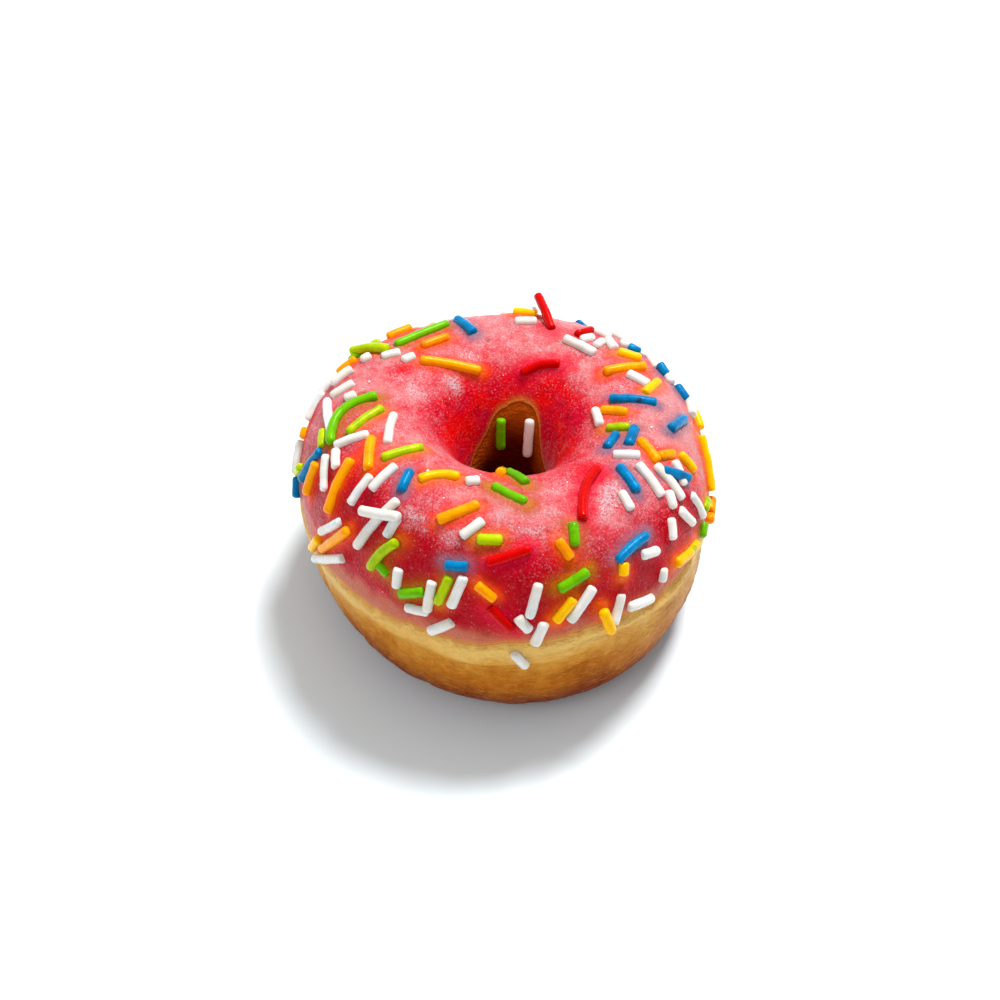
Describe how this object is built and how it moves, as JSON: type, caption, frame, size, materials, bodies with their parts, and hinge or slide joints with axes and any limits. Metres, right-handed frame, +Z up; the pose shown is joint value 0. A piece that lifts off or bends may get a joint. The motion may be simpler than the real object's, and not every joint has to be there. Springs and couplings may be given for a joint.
{
  "type": "iced ring doughnut",
  "caption": "Round ring doughnut of browned dough with a thin glaze of icing over its upper half and small sugar sprinkles on it.",
  "frame": {"origin": "centre of the bounding box at the flat base", "axes": "+Z up out of the iced side, along the axis of the hole; the near side of the picture is towards -Y"},
  "size_m": [0.081, 0.0844, 0.0462],
  "materials": {
    "dough": "fried dough, satin",
    "icing": "set sugar glaze, semi-gloss"
  },
  "bodies": {
    "root": {"dough": "dough", "icing": "icing"}
  },
  "joints": []
}
